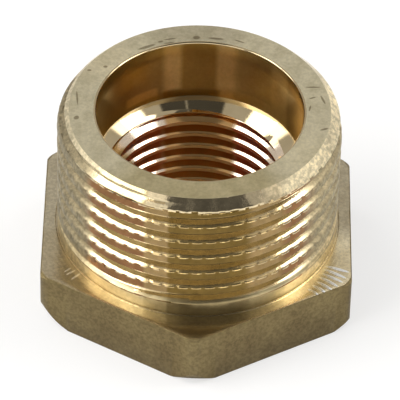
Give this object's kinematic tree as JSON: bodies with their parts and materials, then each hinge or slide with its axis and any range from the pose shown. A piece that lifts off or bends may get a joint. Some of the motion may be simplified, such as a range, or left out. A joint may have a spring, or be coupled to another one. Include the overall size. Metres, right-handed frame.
{
  "type": "hex bushing",
  "caption": "Brass reducing bushing: hexagon flange with a female pipe thread below, larger male pipe thread above with a plain counterbore in its end.",
  "frame": {"origin": "centre of the lower hexagon face, on the surface the bushing stands on", "axes": "+Z is the common axis of both threads, towards the male end; -Y points at a hexagon corner and +X at a hexagon flat"},
  "size_m": [0.0356, 0.0406, 0.0236],
  "materials": {
    "brass": "machined thread, bores and end faces; drawn matte hexagon flats"
  },
  "bodies": {
    "root": {"hex_bushing": "brass"}
  },
  "joints": []
}
